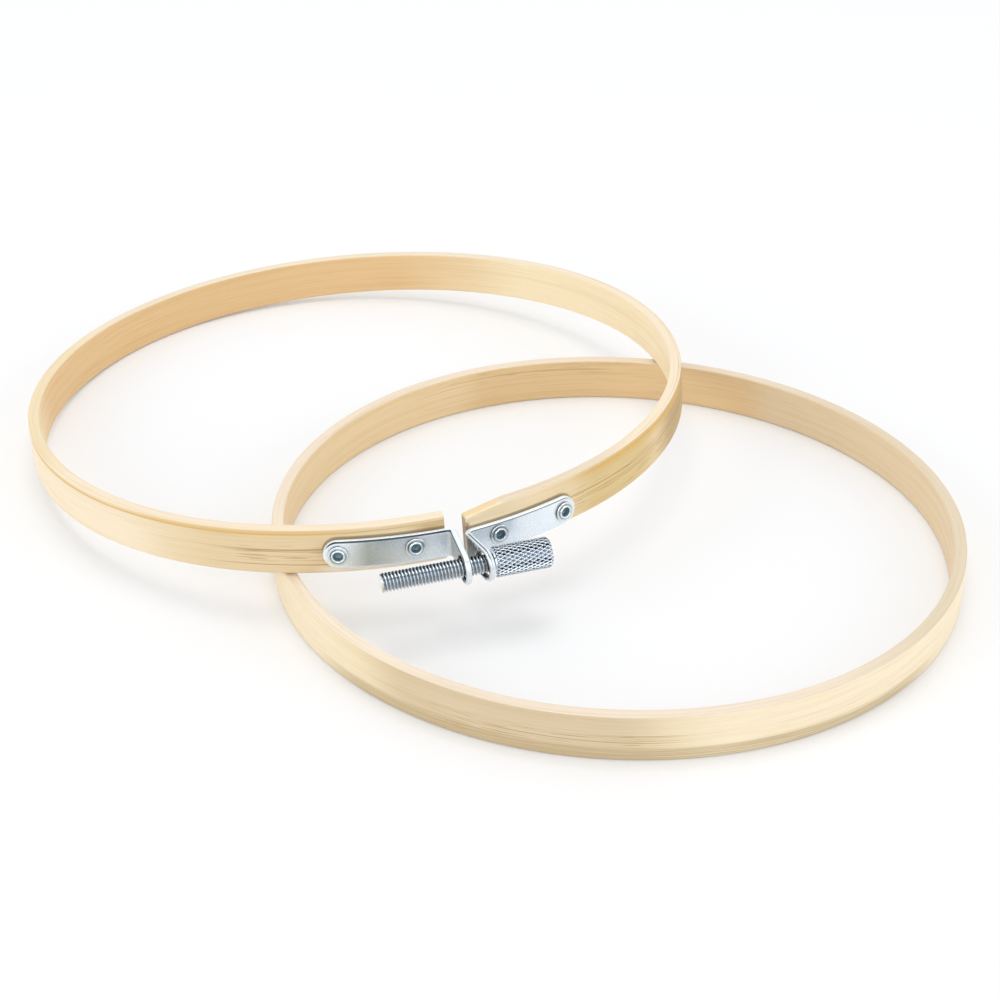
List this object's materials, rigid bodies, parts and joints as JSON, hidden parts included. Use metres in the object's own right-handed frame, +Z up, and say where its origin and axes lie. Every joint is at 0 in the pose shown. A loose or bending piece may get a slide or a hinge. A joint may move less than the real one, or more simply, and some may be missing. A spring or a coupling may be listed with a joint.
{
  "type": "embroidery hoop",
  "caption": "Round bamboo embroidery hoop, with a split outer ring that a riveted clamp and a knurled thumbscrew draw together. The outer ring lies leaning on the closed inner ring.",
  "frame": {"origin": "the middle of the footprint's box, on the table", "axes": "+Z up, square to the inner ring, which lies flat; the thumbscrew is on the -Y side, with its head towards +X"},
  "size_m": [0.2048, 0.196, 0.0234],
  "materials": {
    "outer_bamboo": "satin, sanded bamboo strip with lengthwise grain",
    "inner_bamboo": "satin, sanded bamboo strip with lengthwise grain",
    "bracket_steel": "bright zinc plating on bent sheet",
    "rivet_steel": "bright zinc plating",
    "screw_steel": "bright zinc plating on a rolled thread and a knurl"
  },
  "bodies": {
    "inner_ring": {"inner_ring": "inner_bamboo"},
    "head_side": {"outer_ring_head_side": "outer_bamboo", "head_side_bracket": "bracket_steel", "head_side_rivet_near": "rivet_steel", "head_side_rivet_far": "rivet_steel"},
    "nut_side": {"outer_ring_nut_side": "outer_bamboo", "nut_side_bracket": "bracket_steel", "nut_side_rivet_near": "rivet_steel", "nut_side_rivet_far": "rivet_steel"},
    "screw": {"screw_shank": "screw_steel", "knurled_head": "screw_steel"}
  },
  "joints": [
    {"name": "ring_lift", "type": "slide", "parent": "inner_ring", "child": "head_side", "axis": [0, 0, 1], "range_m": [0, 0.06]},
    {"name": "thumbscrew_turn", "type": "hinge", "parent": "head_side", "child": "screw", "pos_m": [-0.00039, -0.05715, 0.01565], "axis": [-0.9458, -0.3247, -0.0109], "range_deg": [-3600, 540]},
    {"name": "ring_flex", "type": "hinge", "parent": "head_side", "child": "nut_side", "pos_m": [-0.05168, 0.09231, 0.00593], "axis": [-0.0686, 0.0586, 0.9959], "range_deg": [-2.53, 0.38]}
  ],
  "couplings": [
    {"joint": "thumbscrew_turn", "follows": "ring_flex", "ratio": 1421.1}
  ]
}
